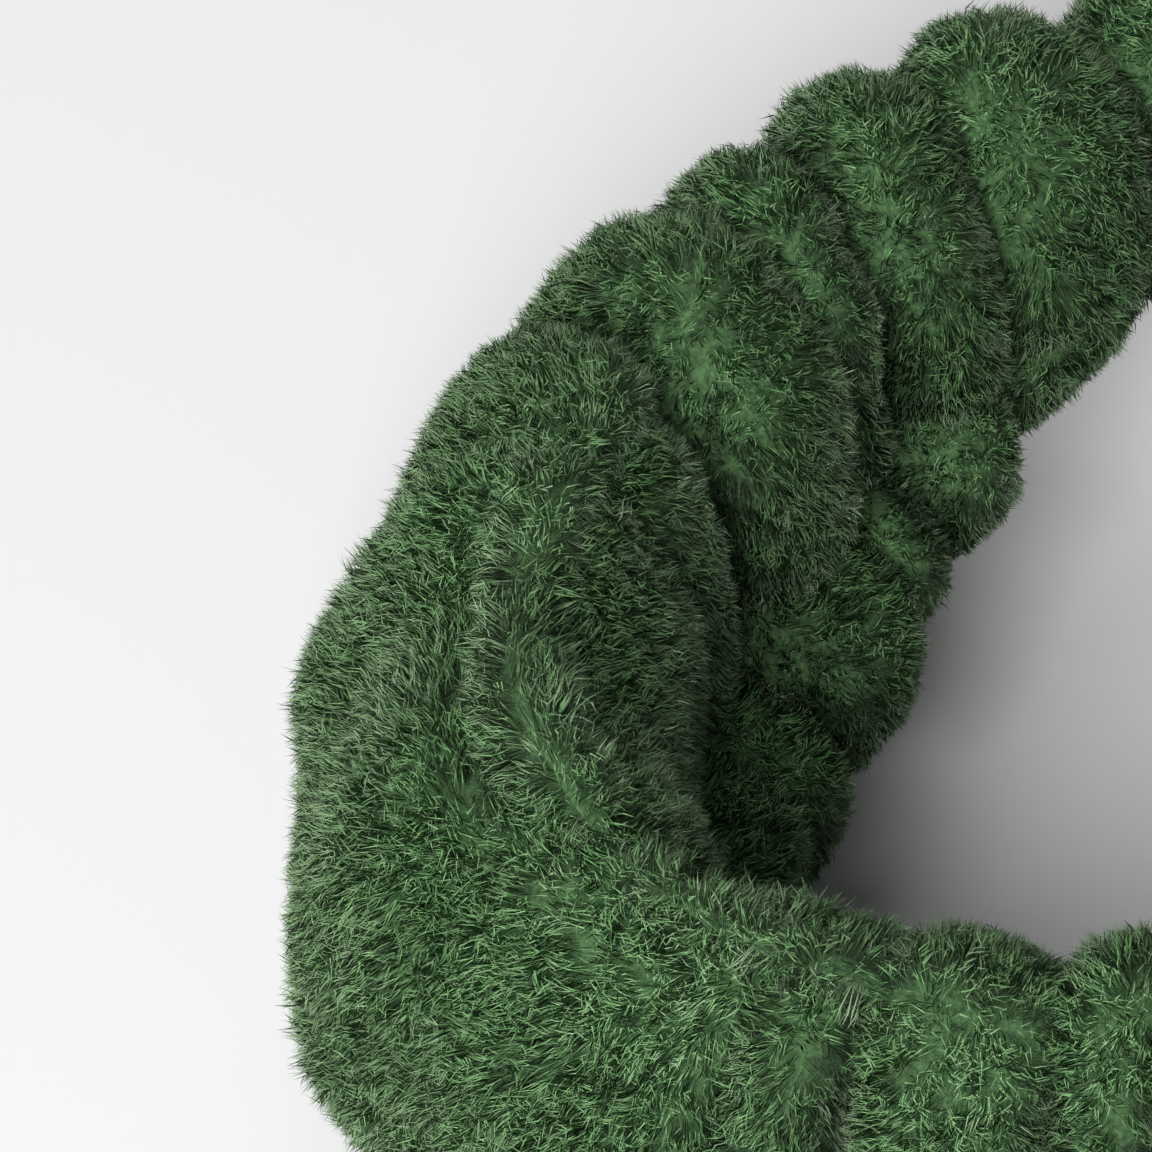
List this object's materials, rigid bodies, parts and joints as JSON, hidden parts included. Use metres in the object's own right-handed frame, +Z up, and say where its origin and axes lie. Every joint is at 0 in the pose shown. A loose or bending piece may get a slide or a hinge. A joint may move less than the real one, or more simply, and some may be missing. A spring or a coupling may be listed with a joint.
{
  "type": "knotted headband",
  "caption": "Soft plush headband with a wrapped knot at the front and a ruched elastic back, standing on its lower edge.",
  "frame": {"origin": "on the surface that the band stands on, under the middle of the whole headband", "axes": "+Z up, +Y from the knot at the front to the elastic back, +X to the right seen from in front of the knot, along the ring's width"},
  "size_m": [0.217, 0.155, 0.074],
  "materials": {
    "green_plush": "deep soft pile, clumped, slightly sheeny",
    "white_wadding": "loose matt fibre",
    "woven_elastic": "flat woven ribs",
    "sewing_thread": "twisted matt thread"
  },
  "bodies": {
    "front_band": {"front_cover_left": "green_plush", "wadding_left": "white_wadding", "cover_seam_left": "sewing_thread", "side_seam_left": "sewing_thread", "elastic_tack_left": "sewing_thread", "front_cover_right": "green_plush", "wadding_right": "white_wadding", "cover_seam_right": "sewing_thread", "side_seam_right": "sewing_thread", "elastic_tack_right": "sewing_thread", "centre_join_seam": "sewing_thread"},
    "rear_band": {"rear_casing": "green_plush", "casing_seam": "sewing_thread", "elastic_strip": "woven_elastic"},
    "knot": {"knot_wrap": "green_plush", "knot_wrap_seam": "sewing_thread"}
  },
  "joints": [
    {"name": "rear_stretch", "type": "slide", "parent": "front_band", "child": "rear_band", "axis": [0, 1, 0], "range_m": [0, 0.045], "stiffness_N_per_m": 90, "deforming": ["elastic_strip", "casing_seam"]},
    {"name": "knot_turn", "type": "hinge", "parent": "front_band", "child": "knot", "pos_m": [0, -0.0475, 0.0372], "axis": [1, 0, 0], "range_deg": [-9, 9]}
  ]
}
